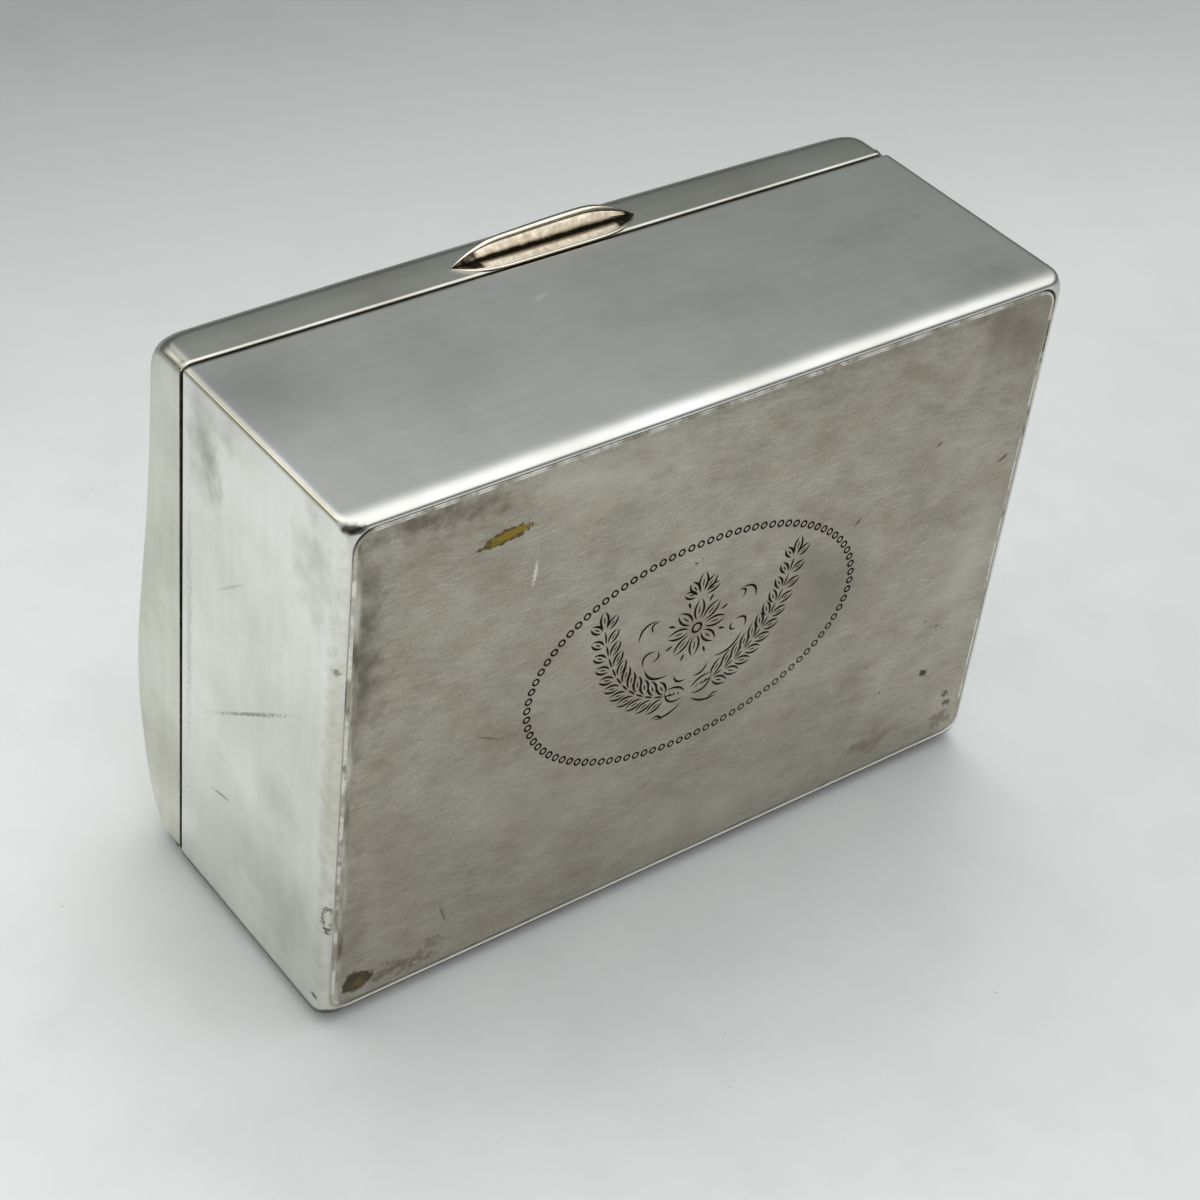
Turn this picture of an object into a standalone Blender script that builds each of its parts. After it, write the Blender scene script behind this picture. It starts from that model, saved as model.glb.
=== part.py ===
# Table cigarette box in silver-plated sheet metal, lined with cedar.
# It stands upright: width along X, front towards -Y, hinge along X at the back, height along Z.
# The origin is the middle of the base plate's underside. Lengths are in metres.

import math

import bmesh
import bpy
from mathutils import Matrix, Vector

# Overall sizes
BOX_WIDTH = 0.127
BOX_DEPTH = 0.0906
BODY_HEIGHT = 0.0405  # from the table to the top edge of the body's walls
SHEET = 0.0009  # thickness of the pressed sheet
CLEARANCE = 0.0003  # left between neighbouring pieces, where the real ones meet or are soldered
OVERRUN = 0.002  # how far a cutter reaches past what it cuts

# Body shell and base plate
BODY_CORNER_RADIUS = 0.0010  # upright corners
BODY_EDGE_RADIUS = 0.0012  # where the walls turn in under the bottom
BODY_NOSE_DEPTH = 0.0040  # the lower corners are rounded off further, over this distance
BODY_NOSE_HEIGHT = 0.0020
PLATE_THICKNESS = 0.0010
PLATE_INSET = 0.0008  # from the outside of the walls to the opening that the plate fills
PLATE_CORNER_RADIUS = 0.0035

# Lid, measured from its own lower edge
SEAM_GAP = 0.0003  # between body and lid at the hinge
LID_AJAR_ANGLE = math.radians(0.25)  # the shut lid stands a hair open at the front
LID_FRONT_HEIGHT = 0.0105
LID_PEAK_HEIGHT = 0.01515
LID_CROWN = 0.0008  # extra height along the middle of the lid
LID_CORNER_RADIUS = 0.0020
LID_FRONT_ROUND_DEPTH = 0.0060
LID_FRONT_ROUND_HEIGHT = 0.0046
LID_END_ROUND_DEPTH = 0.0052
LID_END_ROUND_HEIGHT = 0.0032
LID_BACK_ROLL_DEPTH = 0.0139
LID_BACK_ROLL_HEIGHT = 0.0074
# The lid's long section: how far back, as a share of the depth, and how much of the rise from front to peak
LID_SECTION_SHARES = ((0.0, 0.0), (0.2, 0.15), (0.35, 0.38), (0.5, 0.74), (0.62, 0.99), (0.74, 0.98), (0.87, 0.56),
                      (1.0, 0.25))

# Thumb piece
THUMB_LENGTH = 0.0334
THUMB_SIDE_SHIFT = 0.0012  # it sits this far left of the middle
THUMB_REACH = 0.0030  # how far its rim stands out from the lid's front wall
THUMB_SHEET = 0.0006
THUMB_CREASE_HEIGHT = 0.0028  # its tips and inner crease, above the lid's lower edge
THUMB_RIM_RISE = 0.0004  # the rim's height above the crease
THUMB_LIP_DROP = 0.0002  # how far its lower lip hangs below the lid's lower edge
THUMB_TIP_WIDTH = 0.0009
THUMB_BLUNT_SHARE = 0.3  # how much of each side stays full before it runs to the tip

# Hinge
HINGE_END_INSET = 0.0130  # from the box's end to the hinge's end
KNUCKLE_RADIUS = 0.00125
KNUCKLE_COUNT = 7
HINGE_STANDOFF = 0.0002  # the hinge axis lies this far behind the back wall
PIN_RADIUS = 0.0005
PIN_END = 0.0004  # how far the pin shows past the last knuckles
BEARER_THICKNESS = 0.0016
BEARER_HEIGHT = 0.0026
BEARER_OVERLAP = 0.0030  # how far a bearer runs past the hinge's end

# Cedar lining
CEDAR_THICKNESS = 0.0020
CEDAR_DROP = 0.0006  # from the body's top edge down to the boards' top edges
DIVIDER_THICKNESS = 0.0022
DIVIDER_DROP = 0.0060  # from the side boards' top edges down to the divider's
DIVIDER_HOUSING = 0.0009  # depth of the grooves that hold the divider

# Counts
ROUND_STEPS = 8
CORNER_STEPS = 5
MIDDLE_STEPS = 8
TUBE_SIDES = 24
THUMB_STEPS = 24
THUMB_SIDE_STEPS = 4

# Colour, metallic and roughness of each finish
FINISHES = {
    "silver_plate_polished": ((0.62, 0.62, 0.60), 1.0, 0.22),
    "silver_plate_worn": ((0.45, 0.43, 0.39), 1.0, 0.42),
    "plated_brass": ((0.58, 0.55, 0.48), 1.0, 0.30),
    "steel_wire": ((0.42, 0.42, 0.42), 1.0, 0.35),
    "cedar": ((0.33, 0.16, 0.08), 0.0, 0.60),
}

# Places worked out from the sizes
half_width = BOX_WIDTH / 2
half_depth = BOX_DEPTH / 2
hinge_y = half_depth + HINGE_STANDOFF
hinge_z = BODY_HEIGHT + SEAM_GAP / 2
hinge_half_length = half_width - HINGE_END_INSET
lid_edge_z = SEAM_GAP / 2  # the lid's lower edge, above the hinge axis
inner_half_width = half_width - SHEET - CLEARANCE
inner_half_depth = half_depth - SHEET - CLEARANCE
bearer_half_length = hinge_half_length + PIN_END + BEARER_OVERLAP

for old in list(bpy.data.objects):
    bpy.data.objects.remove(old, do_unlink=True)

box_collection = bpy.data.collections.new("cigarette_box")
cutter_collection = bpy.data.collections.new("cutters")
bpy.context.scene.collection.children.link(box_collection)
bpy.context.scene.collection.children.link(cutter_collection)


def add_piece(name, mesh_edit, finish, parent=None):
    """Turns an edited mesh into a named object with its own material."""
    mesh = bpy.data.meshes.new(name)
    mesh_edit.to_mesh(mesh)
    mesh_edit.free()
    piece = bpy.data.objects.new(name, mesh)
    box_collection.objects.link(piece)
    colour, metallic, roughness = FINISHES[finish]
    material = bpy.data.materials.new(f"{name}_{finish}")
    material.use_nodes = True
    shader = material.node_tree.nodes["Principled BSDF"]
    shader.inputs["Base Color"].default_value = (*colour, 1)
    shader.inputs["Metallic"].default_value = metallic
    shader.inputs["Roughness"].default_value = roughness
    mesh.materials.append(material)
    piece.parent = parent
    return piece


def add_cutter(name, mesh_edit):
    """Makes an object that only cuts others, shown as a wire frame."""
    mesh = bpy.data.meshes.new(name)
    mesh_edit.to_mesh(mesh)
    mesh_edit.free()
    cutter = bpy.data.objects.new(name, mesh)
    cutter.hide_render = True
    cutter.display_type = "WIRE"
    cutter_collection.objects.link(cutter)
    return cutter


def cut(piece, cutter):
    modifier = piece.modifiers.new(cutter.name, "BOOLEAN")
    modifier.operation = "DIFFERENCE"
    modifier.object = cutter


def block(low, high):
    """A box between two corners, as an edited mesh."""
    low = Vector(low)
    high = Vector(high)
    size = high - low
    mesh_edit = bmesh.new()
    bmesh.ops.create_cube(mesh_edit, size=1)
    bmesh.ops.scale(mesh_edit, vec=size, verts=mesh_edit.verts)
    bmesh.ops.translate(mesh_edit, vec=(low + high) / 2, verts=mesh_edit.verts)
    return mesh_edit


def round_upright_edges(mesh_edit, radius):
    upright = []
    for edge in mesh_edit.edges:
        run = edge.verts[1].co - edge.verts[0].co
        if abs(run.z) > run.xy.length:
            upright.append(edge)
    bmesh.ops.bevel(mesh_edit, geom=upright, offset=radius, offset_type="OFFSET", segments=CORNER_STEPS,
                    profile=0.5, affect="EDGES", material=-1)


def rod(radius, start_x, end_x, centre_y, centre_z):
    """A cylinder along X, as an edited mesh."""
    mesh_edit = bmesh.new()
    bmesh.ops.create_cone(mesh_edit, cap_ends=True, segments=TUBE_SIDES, radius1=radius, radius2=radius,
                          depth=end_x - start_x)
    bmesh.ops.rotate(mesh_edit, matrix=Matrix.Rotation(math.pi / 2, 3, "Y"), verts=mesh_edit.verts)
    middle = Vector(((start_x + end_x) / 2, centre_y, centre_z))
    bmesh.ops.translate(mesh_edit, vec=middle, verts=mesh_edit.verts)
    return mesh_edit


def smooth_through(points, place):
    """Height at a place on a smooth curve through (place, height) points."""
    def slope(i):
        before = points[max(i - 1, 0)]
        after = points[min(i + 1, len(points) - 1)]
        return (after[1] - before[1]) / (after[0] - before[0])

    last = len(points) - 2
    i = min(sum(1 for p in points[1:] if p[0] <= place), last)
    (start, low), (end, high) = points[i], points[i + 1]
    span = end - start
    t = (place - start) / span
    return ((2 * t**3 - 3 * t**2 + 1) * low + (t**3 - 2 * t**2 + t) * span * slope(i)
            + (3 * t**2 - 2 * t**3) * high + (t**3 - t**2) * span * slope(i + 1))


def round_drop(distance, depth, height):
    """How far a rounded edge has fallen at a distance in from the side that it meets."""
    reach = min(max(1 - distance / depth, 0), 1)
    return height * (1 - math.sqrt(1 - reach**2))


def stations(length, low_round, high_round):
    """Places along a side: close together over the rounded edge at each end, even between them."""
    angles = [math.pi / 2 * i / ROUND_STEPS for i in range(ROUND_STEPS + 1)]
    low = [-length / 2 + low_round * (1 - math.cos(a)) for a in angles]
    high = [length / 2 - high_round * (1 - math.cos(a)) for a in reversed(angles)]
    between = [low[-1] + (high[0] - low[-1]) * i / MIDDLE_STEPS for i in range(1, MIDDLE_STEPS)]
    return low + between + high


def pressed_tray(x_places, y_places, corner_radius, top_height):
    """An open sheet: a rounded top over upright walls that end at z = 0, with rounded upright corners."""
    mesh_edit = bmesh.new()
    x_steps = len(x_places) - 1
    y_steps = len(y_places) - 1
    bmesh.ops.create_grid(mesh_edit, x_segments=x_steps, y_segments=y_steps, size=1)
    x_end = x_places[-1]
    y_end = y_places[-1]
    for vert in mesh_edit.verts:
        x = x_places[round((vert.co.x + 1) / 2 * x_steps)]
        y = y_places[round((vert.co.y + 1) / 2 * y_steps)]
        vert.co.z = top_height(x, y)
        # A corner's square of points is drawn in to a quarter circle
        p = max(abs(x) - (x_end - corner_radius), 0) / corner_radius
        q = max(abs(y) - (y_end - corner_radius), 0) / corner_radius
        vert.co.x = x - math.copysign(corner_radius * p * (1 - math.sqrt(1 - q**2 / 2)), x)
        vert.co.y = y - math.copysign(corner_radius * q * (1 - math.sqrt(1 - p**2 / 2)), y)
    rim = [e for e in mesh_edit.edges if e.is_boundary]
    walls = bmesh.ops.extrude_edge_only(mesh_edit, edges=rim)
    for vert in walls["geom"]:
        if isinstance(vert, bmesh.types.BMVert):
            vert.co.z = 0
    bmesh.ops.recalc_face_normals(mesh_edit, faces=mesh_edit.faces)
    return mesh_edit


def thicken(piece, thickness):
    """Gives an open sheet its thickness, on the inside of the surface."""
    modifier = piece.modifiers.new("sheet", "SOLIDIFY")
    modifier.thickness = thickness
    modifier.offset = -1
    modifier.use_even_offset = True


# Hinge axis. The lid and all that is fixed to it hang on this empty.
lid_pivot = bpy.data.objects.new("lid_pivot", None)
lid_pivot.location = (0, hinge_y, hinge_z)
lid_pivot.rotation_euler.x = -LID_AJAR_ANGLE
box_collection.objects.link(lid_pivot)

# Groove along the back edges of body and lid, in which the knuckles lie
groove_half_length = hinge_half_length + PIN_END + CLEARANCE
groove = add_cutter("hinge_groove", rod(KNUCKLE_RADIUS + CLEARANCE, -groove_half_length, groove_half_length,
                                        hinge_y, hinge_z))


def make_body_shell():
    """Pressed body: made upside down as a tray with walls down to z = 0, then turned over."""
    def underside(x, y):
        across = round_drop(half_width - abs(x), BODY_EDGE_RADIUS, BODY_EDGE_RADIUS)
        along = round_drop(half_depth - abs(y), BODY_EDGE_RADIUS, BODY_EDGE_RADIUS)
        nose = round_drop(half_width - abs(x) + half_depth - abs(y), BODY_NOSE_DEPTH, BODY_NOSE_HEIGHT)
        return BODY_HEIGHT - across - along - nose

    tray = pressed_tray(stations(BOX_WIDTH, BODY_NOSE_DEPTH, BODY_NOSE_DEPTH),
                        stations(BOX_DEPTH, BODY_NOSE_DEPTH, BODY_NOSE_DEPTH), BODY_CORNER_RADIUS, underside)
    bmesh.ops.rotate(tray, matrix=Matrix.Rotation(math.pi, 3, "X"), verts=tray.verts)
    bmesh.ops.translate(tray, vec=(0, 0, BODY_HEIGHT), verts=tray.verts)
    shell = add_piece("body_shell", tray, "silver_plate_polished")
    thicken(shell, SHEET)
    opening = block((-half_width + PLATE_INSET, -half_depth + PLATE_INSET, -OVERRUN),
                    (half_width - PLATE_INSET, half_depth - PLATE_INSET, SHEET + OVERRUN))
    round_upright_edges(opening, PLATE_CORNER_RADIUS)
    cut(shell, add_cutter("plate_opening", opening))
    cut(shell, groove)


def make_base_plate():
    """Flat plate that fills the opening in the body's bottom."""
    inset = PLATE_INSET + CLEARANCE
    plate = block((-half_width + inset, -half_depth + inset, 0),
                  (half_width - inset, half_depth - inset, PLATE_THICKNESS))
    round_upright_edges(plate, PLATE_CORNER_RADIUS - CLEARANCE)
    add_piece("base_plate", plate, "silver_plate_worn")


def lid_height(x, y):
    """Height of the lid's outside above its lower edge."""
    section = smooth_through(LID_SECTION_SHARES, (y + half_depth) / BOX_DEPTH)
    height = LID_FRONT_HEIGHT + (LID_PEAK_HEIGHT - LID_FRONT_HEIGHT) * section
    height += LID_CROWN * (1 - (x / half_width) ** 2)
    height -= round_drop(half_width - abs(x), LID_END_ROUND_DEPTH, LID_END_ROUND_HEIGHT)
    height -= round_drop(y + half_depth, LID_FRONT_ROUND_DEPTH, LID_FRONT_ROUND_HEIGHT)
    return height - round_drop(half_depth - y, LID_BACK_ROLL_DEPTH, LID_BACK_ROLL_HEIGHT)


def make_lid_shell():
    """Pressed lid, placed from the hinge axis."""
    tray = pressed_tray(stations(BOX_WIDTH, LID_END_ROUND_DEPTH, LID_END_ROUND_DEPTH),
                        stations(BOX_DEPTH, LID_FRONT_ROUND_DEPTH, LID_BACK_ROLL_DEPTH),
                        LID_CORNER_RADIUS, lid_height)
    bmesh.ops.translate(tray, vec=(0, -hinge_y, lid_edge_z), verts=tray.verts)
    shell = add_piece("lid_shell", tray, "silver_plate_polished", lid_pivot)
    thicken(shell, SHEET)
    cut(shell, groove)


def make_thumb_piece():
    """Hollow almond-shaped lift: a sheet folded along its crease, with a lip on the wall and a rim that stands out."""
    sheet = bmesh.new()
    across_steps = 2 * THUMB_SIDE_STEPS
    bmesh.ops.create_grid(sheet, x_segments=THUMB_STEPS, y_segments=across_steps, size=1)
    wall_y = -half_depth - hinge_y  # the lid's front wall, seen from the hinge axis
    back_y = wall_y - CLEARANCE - THUMB_SHEET / 2
    lip_drop = THUMB_CREASE_HEIGHT + THUMB_LIP_DROP - THUMB_SHEET / 2
    rim_reach = THUMB_REACH - CLEARANCE - THUMB_SHEET
    for vert in sheet.verts:
        along = vert.co.x
        across = vert.co.y
        # The outline is full in the middle and runs in to a narrow tip at each end
        run = max(abs(along) - THUMB_BLUNT_SHARE, 0) / (1 - THUMB_BLUNT_SHARE)
        fullness = 1 - run**2
        reach = fullness * rim_reach + THUMB_TIP_WIDTH / 2
        drop = fullness * lip_drop * (1 - THUMB_TIP_WIDTH / (2 * lip_drop)) + THUMB_TIP_WIDTH / 2
        bend = abs(across)
        vert.co.x = along * (THUMB_LENGTH - THUMB_SHEET) / 2 - THUMB_SIDE_SHIFT
        if across > 0:
            vert.co.y = back_y - reach * bend
            vert.co.z = THUMB_CREASE_HEIGHT + THUMB_RIM_RISE * math.sin(math.pi / 2 * bend) * fullness
        else:
            vert.co.y = back_y
            vert.co.z = THUMB_CREASE_HEIGHT - drop * bend
        vert.co.z += lid_edge_z
    bmesh.ops.recalc_face_normals(sheet, faces=sheet.faces)
    thumb = add_piece("thumb_piece", sheet, "plated_brass", lid_pivot)
    thicken(thumb, THUMB_SHEET)
    thumb.modifiers["sheet"].offset = 0


def make_bearer(name, low_z, high_z, parent, origin):
    """Strip inside a back wall, which backs the wall where the knuckles are soldered."""
    outer_y = half_depth - SHEET - CLEARANCE
    strip = block((-bearer_half_length, outer_y - BEARER_THICKNESS, low_z),
                  (bearer_half_length, outer_y, high_z))
    bmesh.ops.translate(strip, vec=-Vector(origin), verts=strip.verts)
    cut(add_piece(name, strip, "plated_brass", parent), groove)


def make_hinge():
    """Two bearers, seven knuckles that turn in the groove, and the pin."""
    make_bearer("hinge_bearer_body", BODY_HEIGHT - BEARER_HEIGHT, BODY_HEIGHT, None, (0, 0, 0))
    lid_edge = hinge_z + lid_edge_z
    make_bearer("hinge_bearer_lid", lid_edge, lid_edge + BEARER_HEIGHT, lid_pivot, (0, hinge_y, hinge_z))
    bore = add_cutter("pin_bore", rod(PIN_RADIUS + CLEARANCE, -groove_half_length, groove_half_length,
                                      hinge_y, hinge_z))
    pitch = (2 * hinge_half_length + CLEARANCE) / KNUCKLE_COUNT
    for i in range(KNUCKLE_COUNT):
        start = -hinge_half_length + i * pitch
        on_lid = i % 2 == 1
        place = (0, 0) if on_lid else (hinge_y, hinge_z)
        tube = rod(KNUCKLE_RADIUS, start, start + pitch - CLEARANCE, *place)
        knuckle = add_piece(f"hinge_knuckle_{i + 1}", tube, "plated_brass", lid_pivot if on_lid else None)
        cut(knuckle, bore)
    pin_half_length = hinge_half_length + PIN_END
    add_piece("hinge_pin", rod(PIN_RADIUS, -pin_half_length, pin_half_length, hinge_y, hinge_z), "steel_wire")


def make_cedar_lining():
    """Five boards and a divider. The back board stops below the hinge bearer."""
    floor_low = max(SHEET, PLATE_THICKNESS) + CLEARANCE
    floor_high = floor_low + CEDAR_THICKNESS
    trim = max(BODY_EDGE_RADIUS - SHEET, 0)  # clears the body's rounded inside edge
    add_piece("cedar_floor", block((-inner_half_width + trim, -inner_half_depth + trim, floor_low),
                                   (inner_half_width - trim, inner_half_depth - trim, floor_high)), "cedar")
    board_low = floor_high + CLEARANCE
    board_high = BODY_HEIGHT - CEDAR_DROP
    back_high = min(board_high, BODY_HEIGHT - BEARER_HEIGHT - CLEARANCE)
    front_face = -inner_half_depth + CEDAR_THICKNESS
    back_face = inner_half_depth - CEDAR_THICKNESS
    front = add_piece("cedar_front", block((-inner_half_width, -inner_half_depth, board_low),
                                           (inner_half_width, front_face, board_high)), "cedar")
    back = add_piece("cedar_back", block((-inner_half_width, back_face, board_low),
                                         (inner_half_width, inner_half_depth, back_high)), "cedar")
    for name, side in (("cedar_left", -1), ("cedar_right", 1)):
        x_faces = sorted((side * inner_half_width, side * (inner_half_width - CEDAR_THICKNESS)))
        add_piece(name, block((x_faces[0], front_face + CLEARANCE, board_low),
                              (x_faces[1], back_face - CLEARANCE, board_high)), "cedar")
    groove_half = DIVIDER_THICKNESS / 2 + CLEARANCE
    housing = add_cutter("divider_housing",
                         block((-groove_half, front_face - DIVIDER_HOUSING, board_low - OVERRUN),
                               (groove_half, back_face + DIVIDER_HOUSING, BODY_HEIGHT + OVERRUN)))
    cut(front, housing)
    cut(back, housing)
    reach = DIVIDER_HOUSING - CLEARANCE
    add_piece("cedar_divider", block((-DIVIDER_THICKNESS / 2, front_face - reach, board_low),
                                     (DIVIDER_THICKNESS / 2, back_face + reach, board_high - DIVIDER_DROP)), "cedar")


make_body_shell()
make_base_plate()
make_lid_shell()
make_thumb_piece()
make_hinge()
make_cedar_lining()
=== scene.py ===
"""Looks of a silver-plated table cigarette box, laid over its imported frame.

The box stands upright in the frame. The floor and the camera are turned to it as in the photograph,
where it stands on its back and shows its underside. Sizes are in millimetres until a mesh is finished.
"""

import math

import bmesh
import bpy
from mathutils import Matrix, Vector


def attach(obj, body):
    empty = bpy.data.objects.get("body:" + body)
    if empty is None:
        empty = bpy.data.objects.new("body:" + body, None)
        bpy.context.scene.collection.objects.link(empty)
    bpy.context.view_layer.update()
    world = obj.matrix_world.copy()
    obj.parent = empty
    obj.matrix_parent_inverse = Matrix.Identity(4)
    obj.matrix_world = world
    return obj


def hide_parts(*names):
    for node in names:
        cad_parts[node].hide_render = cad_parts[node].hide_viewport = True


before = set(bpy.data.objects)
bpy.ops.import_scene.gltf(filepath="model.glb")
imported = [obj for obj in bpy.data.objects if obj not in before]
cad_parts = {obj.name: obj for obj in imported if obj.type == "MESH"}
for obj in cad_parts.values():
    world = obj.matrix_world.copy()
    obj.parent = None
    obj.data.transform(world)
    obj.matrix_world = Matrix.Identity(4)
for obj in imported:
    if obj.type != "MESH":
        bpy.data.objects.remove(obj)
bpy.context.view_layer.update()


# Body: one sheet of nickel silver pressed into an open tray, its edge turned in under the bottom.
# Electroplated with silver and buffed, so it mirrors the room softly. The plate has worn yellow
# along the upright corners, and years of handling have left cloudy tarnish.
MM = 0.001
HALF_WIDTH = 63.5
HALF_DEPTH = 45.3
BODY_TOP = 40.5
SHEET = 0.9
EDGE_TURN = 1.2  # how far in the bottom edge has turned when it reaches the table
EDGE_RISE = 4.2  # how high up the wall that turn begins
CORNER_STEPS = 14
SIDE_STEPS = 14
HINGE_Y = 45.5
HINGE_Z = 40.65
GROOVE_RADIUS = 1.55
GROOVE_LENGTH = 102.4


def add_node(tree, kind, values=None, links=None, **settings):
    """Adds a node with its settings, its input values and what is linked to its inputs."""
    made = tree.nodes.new(kind)
    for key, value in settings.items():
        setattr(made, key, value)
    for key, value in (values or {}).items():
        made.inputs[key].default_value = value
    for key, socket in (links or {}).items():
        tree.links.new(socket, made.inputs[key])
    return made


def colour(code):
    """An sRGB hex colour as the linear colour that the shaders take."""
    parts = [int(code[i:i + 2], 16) / 255 for i in (1, 3, 5)]
    return [p / 12.92 if p <= 0.04045 else ((p + 0.055) / 1.055) ** 2.4 for p in parts] + [1]


def new_finish(name, base, metallic, roughness):
    """A material with its shader and the point on the piece that its patterns are laid by."""
    finish = bpy.data.materials.new(name)
    finish.use_nodes = True
    tree = finish.node_tree
    shader = tree.nodes["Principled BSDF"]
    shader.inputs["Base Color"].default_value = colour(base)
    shader.inputs["Metallic"].default_value = metallic
    shader.inputs["Roughness"].default_value = roughness
    place = add_node(tree, "ShaderNodeTexCoord").outputs["Object"]
    return finish, tree, shader, place


def grain(tree, place, size, detail=4.0, stretch=(1, 1, 1), turn=(0, 0, 0), roughness=0.55):
    """Noise whose spots are size millimetres across, turned and drawn out along its axes."""
    laid = add_node(tree, "ShaderNodeMapping", {"Rotation": turn, "Scale": stretch}, {"Vector": place},
                    vector_type="TEXTURE")
    return add_node(tree, "ShaderNodeTexNoise", {"Scale": 1 / (size * MM), "Detail": detail, "Roughness": roughness},
                    {"Vector": laid.outputs[0]}).outputs[0]


def axes(tree, point):
    """A point's three coordinates: along the width, the depth and the height."""
    return add_node(tree, "ShaderNodeSeparateXYZ", links={0: point}).outputs


def spread(tree, value, low, high, to_low=0.0, to_high=1.0, kind="LINEAR"):
    """Brings a value between low and high to the range from to_low to to_high."""
    ends = {"From Min": low, "From Max": high, "To Min": to_low, "To Max": to_high}
    return add_node(tree, "ShaderNodeMapRange", ends, {"Value": value}, interpolation_type=kind).outputs[0]


def work(tree, operation, first, second):
    """One sum on two values, each a number or a socket."""
    made = add_node(tree, "ShaderNodeMath", operation=operation)
    for i, value in enumerate((first, second)):
        if isinstance(value, (int, float)):
            made.inputs[i].default_value = value
        else:
            tree.links.new(value, made.inputs[i])
    return made.outputs[0]


def blend_colour(tree, share, first, second):
    """A mix of two colours, each a hex code or a socket."""
    made = add_node(tree, "ShaderNodeMix", links={0: share}, data_type="RGBA")
    for i, value in ((6, first), (7, second)):
        if isinstance(value, str):
            made.inputs[i].default_value = colour(value)
        else:
            tree.links.new(value, made.inputs[i])
    return made.outputs[2]


def emboss(tree, shader, height, strength, depth):
    """Gives a finish a fine relief, so many millimetres deep."""
    bump = add_node(tree, "ShaderNodeBump", {"Strength": strength, "Distance": depth * MM}, {"Height": height})
    tree.links.new(bump.outputs[0], shader.inputs["Normal"])


def silver_plate(name, bright, dull, smooth, rough, wiped):
    """Buffed silver plate: cloudy tarnish, soft wipe marks and shallow dents."""
    finish, tree, shader, place = new_finish(name, bright, 1.0, smooth)
    cloud = spread(tree, grain(tree, place, 22, 4), 0.3, 0.7, kind="SMOOTHSTEP")
    wipes = spread(tree, grain(tree, place, 2.2, 3, wiped), 0.35, 0.7, kind="SMOOTHSTEP")
    tarnish = work(tree, "ADD", work(tree, "MULTIPLY", cloud, 0.8), work(tree, "MULTIPLY", wipes, 0.2))
    shade = blend_colour(tree, tarnish, bright, dull)
    tree.links.new(shade, shader.inputs["Base Color"])
    tree.links.new(spread(tree, tarnish, 0.0, 1.0, smooth, rough), shader.inputs["Roughness"])
    emboss(tree, shader, grain(tree, place, 15, 2), 0.5, 0.02)
    return finish, tree, shader, place, shade


def patch(tree, place, spot, half_x, half_y, turn=0.0, ragged=0.5, soft=0.25):
    """How much of a ragged stain lies at a point, from 0 to 1. Its middle and its half sizes are in millimetres."""
    laid = add_node(tree, "ShaderNodeMapping", {"Location": (spot[0] * MM, spot[1] * MM, 0), "Rotation": (0, 0, turn),
                                                "Scale": (half_x * MM, half_y * MM, 1)}, {"Vector": place},
                    vector_type="TEXTURE")
    away = add_node(tree, "ShaderNodeVectorMath", links={0: laid.outputs[0]}, operation="LENGTH").outputs["Value"]
    edge = grain(tree, place, max(0.4, min(half_x, half_y) * 0.8), 4)
    away = work(tree, "ADD", away, spread(tree, edge, 0.3, 0.7, -ragged, ragged))
    return spread(tree, away, 1.0, 1.0 - soft)


def lay_marks(tree, place, marks, shade, where=None):
    """Lays stains over a colour. Each has its middle, half sizes, turn, raggedness, softness, colour and strength."""
    for spot, half_x, half_y, turn, ragged, soft, tint, strength in marks:
        share = patch(tree, place, spot, half_x, half_y, turn, ragged, soft)
        if where is not None:
            share = work(tree, "MULTIPLY", share, where)
        shade = blend_colour(tree, work(tree, "MULTIPLY", share, strength), shade, tint)
    return shade


def outline(inset, extent, power, height, rise=None):
    """A ring of points round the box, inset from its walls, with its corners rounded over an extent."""
    half_x, half_y = HALF_WIDTH - inset, HALF_DEPTH - inset
    ring = []
    for quarter in range(4):
        sign_x = 1 if quarter in (0, 3) else -1
        sign_y = 1 if quarter in (0, 1) else -1
        for step in range(CORNER_STEPS + 1):
            s = 2 * step / CORNER_STEPS - 1
            angle = math.pi / 4 * (1 + math.copysign(abs(s) ** 1.4, s))
            reach = extent / (math.cos(angle) ** power + math.sin(angle) ** power) ** (1 / power)
            spot = Vector((reach * math.cos(angle), reach * math.sin(angle)))
            spot.rotate(Matrix.Rotation(quarter * math.pi / 2, 2))
            ring.append(Vector((sign_x * (half_x - extent) + spot.x, sign_y * (half_y - extent) + spot.y, height)))
        # The next corner begins straight across from this one
        begin = ring[-1].copy()
        along_x = quarter in (0, 2)
        end = Vector((-begin.x, begin.y, height)) if along_x else Vector((begin.x, -begin.y, height))
        for step in range(1, SIDE_STEPS):
            ring.append(begin.lerp(end, (1 - math.cos(math.pi * step / SIDE_STEPS)) / 2))
    if rise:
        for spot in ring:
            spot.z += rise(spot)
    return ring


def extend(shape, edges):
    """Draws a row of faces out of edges and gives the points and edges of its far side."""
    made = bmesh.ops.extrude_edge_only(shape, edges=edges)["geom"]
    points = {part for part in made if isinstance(part, bmesh.types.BMVert)}
    return points, [part for part in made if isinstance(part, bmesh.types.BMEdge) and set(part.verts) <= points]


def skin_over(rings, closed=False):
    """A skin drawn over rings of points that all have the same count."""
    skin = bmesh.new()
    order = skin.verts.layers.int.new("order")
    first = bmesh.ops.create_circle(skin, segments=len(rings[0]))["verts"]
    for i, vert in enumerate(first):
        vert[order] = i
        vert.co = rings[0][i]
    start = edges = list(skin.edges)
    for ring in rings[1:]:
        points, edges = extend(skin, edges)
        for vert in points:
            vert.co = ring[vert[order]]
    if closed:
        bmesh.ops.bridge_loops(skin, edges=start + edges)
    bmesh.ops.recalc_face_normals(skin, faces=skin.faces)
    return skin


def new_mesh(name, shape):
    """Keeps a shape as a mesh."""
    mesh = bpy.data.meshes.new(name)
    shape.to_mesh(mesh)
    shape.free()
    return mesh


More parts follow.
